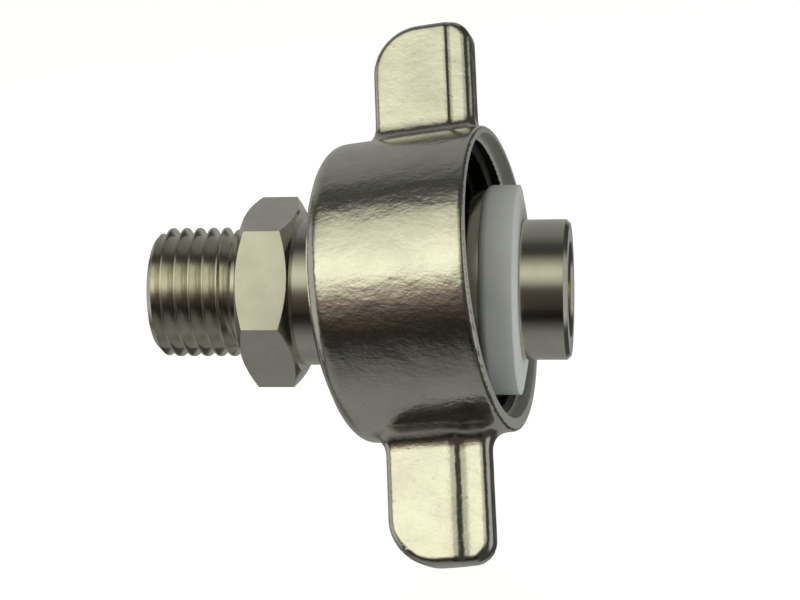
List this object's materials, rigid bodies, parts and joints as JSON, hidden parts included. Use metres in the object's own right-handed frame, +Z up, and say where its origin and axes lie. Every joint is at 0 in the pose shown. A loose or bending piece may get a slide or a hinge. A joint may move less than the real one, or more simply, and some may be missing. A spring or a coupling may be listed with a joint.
{
  "type": "quick disconnect coupler",
  "caption": "Plated coupler half with a threaded tail, wrench hexagon, loose wing nut, plastic face seal and a sprung valve inside the nose.",
  "frame": {"origin": "on the flow axis, in the hexagon's back face where the tail thread ends", "axes": "+X along the flow axis from the tail to the nose, +Z up, square to the hexagon's top flat"},
  "size_m": [0.0446, 0.0386, 0.0493],
  "materials": {
    "plated_turned": "bright nickel plate over turned brass",
    "plated_cast": "nickel plate over a lightly grained casting",
    "white_plastic": "satin, slightly translucent white",
    "bronze": "plain turned bronze",
    "black_rubber": "smooth moulded rubber",
    "plain_brass": "plain turned brass",
    "spring_steel": "drawn stainless wire"
  },
  "bodies": {
    "body": {"coupler_body": "plated_turned", "nose_tube": "plated_turned", "seal_ring": "white_plastic", "valve_seat": "white_plastic", "shank_oring": "black_rubber", "shank_backup_ring": "white_plastic", "valve_spring": "spring_steel", "valve_guide": "plain_brass", "guide_clip": "spring_steel"},
    "slip_washer": {"slip_washer": "white_plastic"},
    "bearing_washer": {"bearing_washer": "bronze"},
    "wing_nut": {"wing_nut": "plated_cast"},
    "valve": {"poppet": "plain_brass", "poppet_seal": "black_rubber", "poppet_tip": "plain_brass"}
  },
  "joints": [
    {"name": "nut_slide", "type": "slide", "parent": "body", "child": "slip_washer", "axis": [1, 0, 0], "range_m": [-0.00325, 0.0071]},
    {"name": "nut_rock", "type": "hinge", "parent": "slip_washer", "child": "bearing_washer", "pos_m": [0.01211, 0, 0], "axis": [0, -0.866, -0.5], "range_deg": [-19, 0]},
    {"name": "nut_spin", "type": "hinge", "parent": "bearing_washer", "child": "wing_nut", "pos_m": [0.01211, 0, 0], "axis": [0.9863, -0.0825, 0.1429], "continuous": true},
    {"name": "valve_open", "type": "slide", "parent": "body", "child": "valve", "axis": [-1, 0, 0], "range_m": [0, 0.0025], "stiffness_N_per_m": 1500, "springref_m": -0.003, "deforming": ["valve_spring"]}
  ]
}
